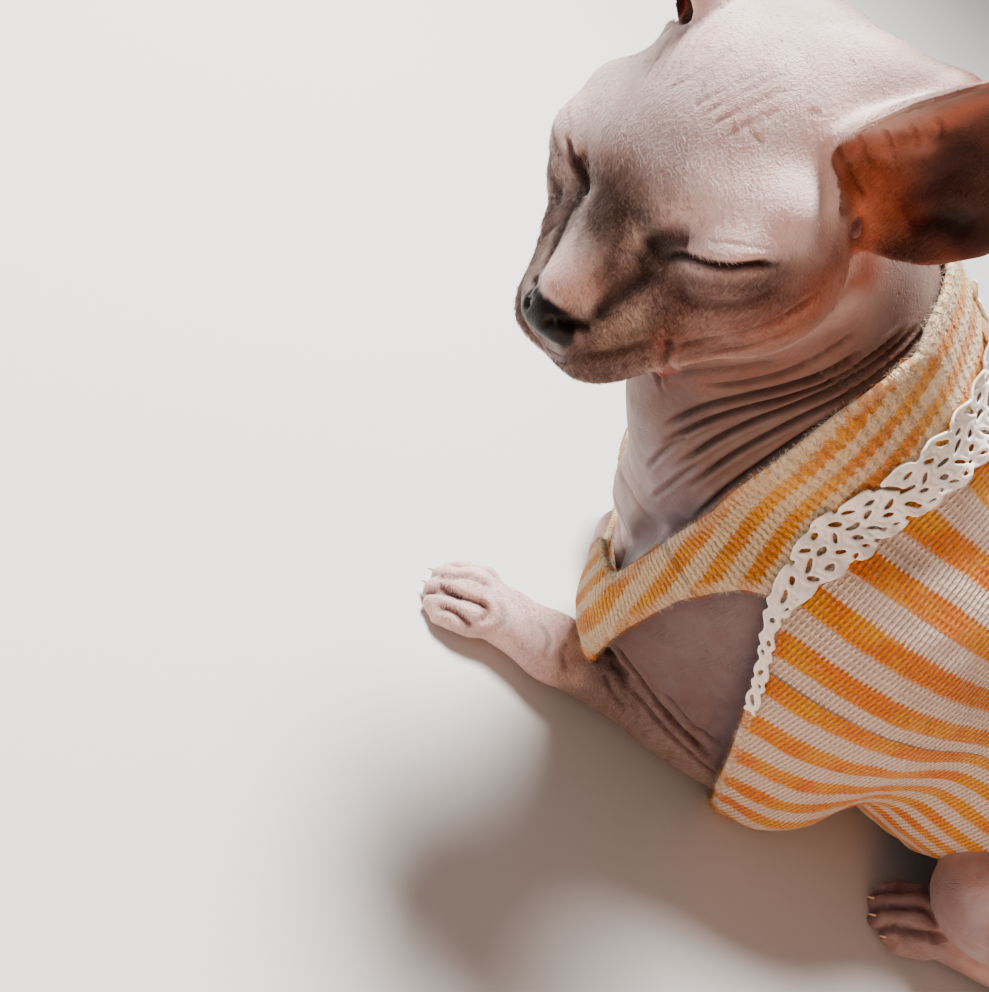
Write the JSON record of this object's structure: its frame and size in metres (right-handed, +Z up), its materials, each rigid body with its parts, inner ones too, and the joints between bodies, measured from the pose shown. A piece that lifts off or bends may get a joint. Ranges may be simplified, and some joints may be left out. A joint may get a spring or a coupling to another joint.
{
  "type": "sphynx cat",
  "caption": "Life-size hairless sphynx cat lying on its chest with its head turned and eyes shut, in a striped knitted vest with lace.",
  "frame": {"origin": "on the floor under the middle of the bounding box", "axes": "+Z up, the cat faces -Y, its left side is +X"},
  "size_m": [0.1922, 0.4454, 0.2492],
  "materials": {
    "ear_skin": "thin warm pink skin with very short fuzz",
    "nose_leather": "near black damp nose leather",
    "lid_skin": "grey pink wrinkled lid",
    "face_skin": "pale pink wrinkled skin with a grey brown mask",
    "body_skin": "pale grey beige wrinkled skin",
    "leg_skin": "brownish grey wrinkled skin",
    "paw_skin": "pink wrinkled skin",
    "tail_skin": "pale grey pink skin",
    "knit": "fuzzy rib knit in orange and cream bands with yellow tints",
    "lace": "off white scalloped lace"
  },
  "bodies": {
    "root": {"ear_left": "ear_skin", "ear_right": "ear_skin", "nose": "nose_leather", "eye_left": "lid_skin", "eye_right": "lid_skin", "head": "face_skin", "neck": "body_skin", "upper_arm_left": "body_skin", "forearm_left": "leg_skin", "forepaw_left": "paw_skin", "upper_arm_right": "body_skin", "forearm_right": "leg_skin", "forepaw_right": "paw_skin", "torso": "body_skin", "thigh_left": "body_skin", "shank_left": "leg_skin", "hind_foot_left": "paw_skin", "thigh_right": "body_skin", "shank_right": "leg_skin", "hind_foot_right": "paw_skin", "tail_1": "tail_skin", "tail_2": "tail_skin", "tail_3": "tail_skin", "tail_4": "tail_skin", "vest": "knit", "lace_left": "lace", "lace_right": "lace"}
  },
  "joints": []
}
